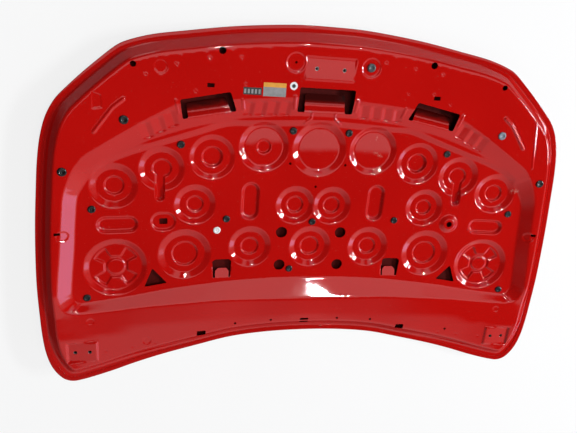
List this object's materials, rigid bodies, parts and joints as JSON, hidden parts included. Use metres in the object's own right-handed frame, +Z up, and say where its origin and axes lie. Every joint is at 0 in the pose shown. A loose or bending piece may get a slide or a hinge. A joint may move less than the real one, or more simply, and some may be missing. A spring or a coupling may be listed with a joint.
{
  "type": "car bonnet",
  "caption": "Red painted steel car bonnet lying on its outer skin: hemmed outer panel, stamped inner panel with rows of round cones, push clips, hole plugs and hidden seat plates.",
  "frame": {"origin": "middle of the box round the bonnet, at the surface it lies on, under the lowest point of the crowned skin", "axes": "+X across the car, +Y towards the bonnet's front edge, +Z up, out of the inner side, because the bonnet lies on its outer skin"},
  "size_m": [1.454, 0.976, 0.0915],
  "materials": {
    "red_paint": "gloss",
    "zinc_steel": "satin",
    "mastic": "matte",
    "clip_plastic": "satin",
    "white_plastic": "satin",
    "grey_plastic": "satin",
    "dark_plastic": "satin"
  },
  "bodies": {
    "root": {"outer_panel": "red_paint", "inner_panel": "red_paint", "mastic_pad_01": "mastic", "mastic_pad_02": "mastic", "mastic_pad_03": "mastic", "mastic_pad_04": "mastic", "mastic_pad_05": "mastic", "mastic_pad_06": "mastic", "mastic_pad_07": "mastic", "mastic_pad_08": "mastic", "mastic_pad_09": "mastic", "mastic_pad_10": "mastic", "mastic_pad_11": "mastic", "mastic_pad_12": "mastic", "mastic_pad_13": "mastic", "mastic_pad_14": "mastic", "mastic_pad_15": "mastic", "mastic_pad_16": "mastic", "mastic_pad_17": "mastic", "mastic_pad_18": "mastic", "mastic_pad_19": "mastic", "mastic_pad_20": "mastic", "push_clip_01": "clip_plastic", "push_clip_02": "clip_plastic", "push_clip_03": "clip_plastic", "push_clip_04": "clip_plastic", "push_clip_05": "clip_plastic", "push_clip_06": "clip_plastic", "push_clip_07": "clip_plastic", "push_clip_08": "clip_plastic", "push_clip_09": "clip_plastic", "push_clip_10": "clip_plastic", "push_clip_11": "clip_plastic", "push_clip_12": "clip_plastic", "white_plug": "white_plastic", "grey_plug_middle": "grey_plastic", "grey_plug_right": "grey_plastic", "dark_plug_left": "dark_plastic", "side_plug_left": "dark_plastic", "side_plug_right": "dark_plastic", "hinge_plate_left": "zinc_steel", "hinge_plate_right": "zinc_steel", "latch_plate": "zinc_steel", "hinge_nut_left_1": "zinc_steel", "hinge_nut_left_2": "zinc_steel", "hinge_nut_right_1": "zinc_steel", "hinge_nut_right_2": "zinc_steel", "latch_nut_1": "zinc_steel", "latch_nut_2": "zinc_steel"}
  },
  "joints": []
}
